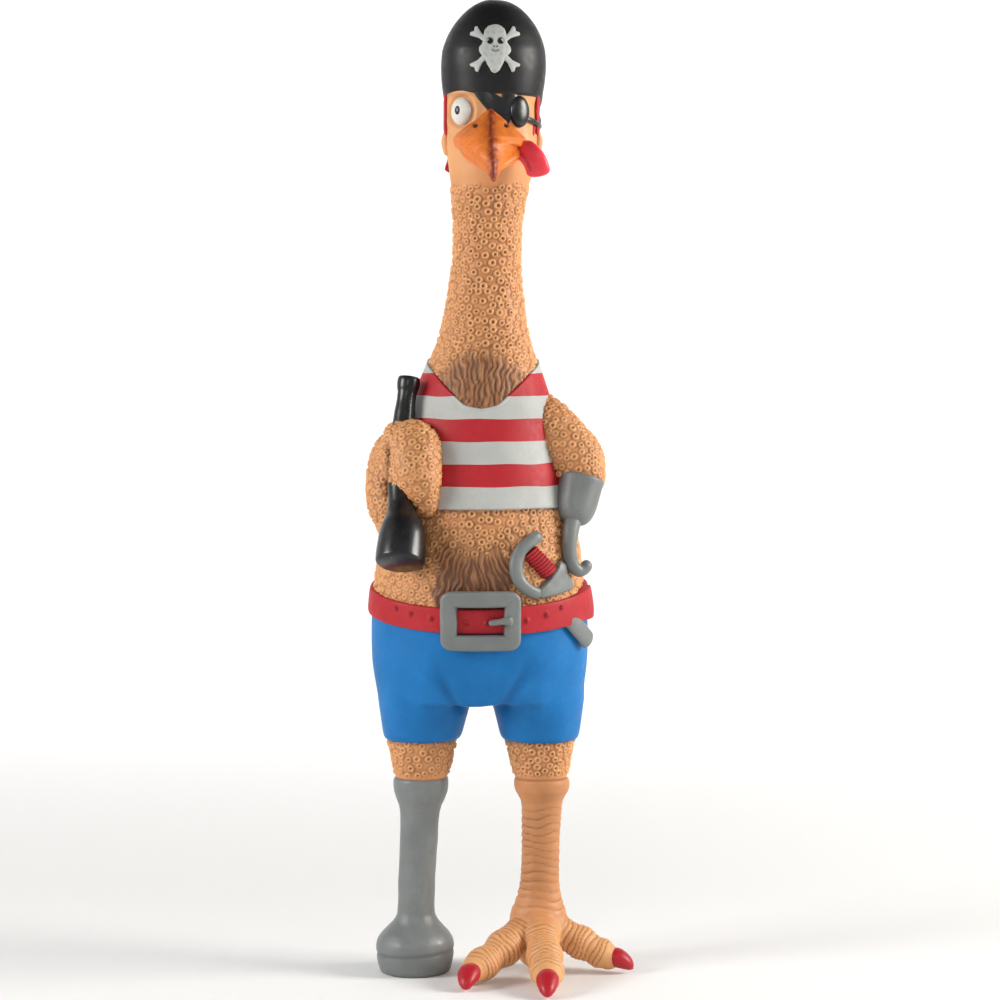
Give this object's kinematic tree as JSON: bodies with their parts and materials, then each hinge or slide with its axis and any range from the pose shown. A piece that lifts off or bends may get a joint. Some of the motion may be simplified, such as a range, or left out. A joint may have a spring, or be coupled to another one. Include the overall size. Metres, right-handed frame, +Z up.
{
  "type": "pirate rubber chicken squeeze toy",
  "caption": "Tall standing latex rubber chicken in pirate dress with a peg leg, hook, bottle, tucked cutlass, bending neck and legs, and a reed squeaker in its back.",
  "frame": {"origin": "on the floor, under the middle of the outline of the standing toy", "axes": "+Z up; the chicken faces -Y, so its own right side is at -X"},
  "size_m": [0.119, 0.0948, 0.43],
  "materials": {
    "skin": "satin latex",
    "face": "satin latex",
    "shirt_white": "matte latex paint",
    "red_paint": "matte latex paint",
    "blue_paint": "matte latex paint",
    "grey_paint": "satin latex paint",
    "black_gloss": "gloss latex paint",
    "hat_black": "satin latex paint",
    "badge_white": "matte latex paint",
    "eye_white": "gloss latex paint",
    "beak_orange": "satin latex paint",
    "tongue_red": "gloss latex paint",
    "claw_red": "gloss latex paint",
    "squeaker_plastic": "moulded",
    "reed_film": "thin film"
  },
  "bodies": {
    "torso": {"torso_skin": "skin", "shirt_white": "shirt_white", "shirt_red": "red_paint", "trunks": "blue_paint", "belt": "red_paint", "buckle_frame": "grey_paint", "buckle_prong": "grey_paint", "right_wing": "skin", "left_wing": "skin", "bottle": "black_gloss", "hook_cuff": "grey_paint", "hook": "grey_paint", "cutlass_guard": "grey_paint", "cutlass_grip": "red_paint", "cutlass_crossguard": "grey_paint", "cutlass_blade": "grey_paint", "squeaker_port": "squeaker_plastic", "squeaker_barrel": "squeaker_plastic", "squeaker_reed_seat": "squeaker_plastic", "squeaker_cap": "squeaker_plastic"},
    "reed": {"squeaker_reed": "reed_film"},
    "neck": {"neck_skin": "skin"},
    "head": {"head_skin": "face", "hat": "hat_black", "skull_badge": "badge_white", "crossbones": "badge_white", "head_scarf": "red_paint", "ear_lobes": "face", "right_eyeball": "eye_white", "right_pupil": "black_gloss", "eye_patch": "black_gloss", "eye_patch_strap": "black_gloss", "upper_beak": "beak_orange", "lower_beak": "beak_orange", "tongue": "tongue_red"},
    "right_leg": {"right_thigh_skin": "skin", "peg_leg": "grey_paint"},
    "left_leg": {"left_thigh_skin": "skin", "left_shank": "skin", "left_foot": "skin", "inner_claw": "claw_red", "middle_claw": "claw_red", "outer_claw": "claw_red"}
  },
  "joints": [
    {"name": "neck_bend", "type": "hinge", "parent": "torso", "child": "neck", "pos_m": [-0.0077, 0.0087, 0.286], "axis": [1, 0, 0], "range_deg": [-35, 35], "stiffness_Nm_per_rad": 0.6},
    {"name": "head_nod", "type": "hinge", "parent": "neck", "child": "head", "pos_m": [-0.0055, 0.0087, 0.352], "axis": [1, 0, 0], "range_deg": [-25, 25], "stiffness_Nm_per_rad": 0.3},
    {"name": "right_leg_bend", "type": "hinge", "parent": "torso", "child": "right_leg", "pos_m": [-0.0355, 0.0087, 0.106], "axis": [1, 0, 0], "range_deg": [-25, 25], "stiffness_Nm_per_rad": 1.5},
    {"name": "left_leg_bend", "type": "hinge", "parent": "torso", "child": "left_leg", "pos_m": [0.0169, 0.0087, 0.106], "axis": [1, 0, 0], "range_deg": [-25, 25], "stiffness_Nm_per_rad": 1.5},
    {"name": "reed_flutter", "type": "hinge", "parent": "torso", "child": "reed", "pos_m": [-0.0093, 0.03222, 0.19705], "axis": [-1, 0, 0], "range_deg": [0, 4], "stiffness_Nm_per_rad": 0.0005}
  ]
}
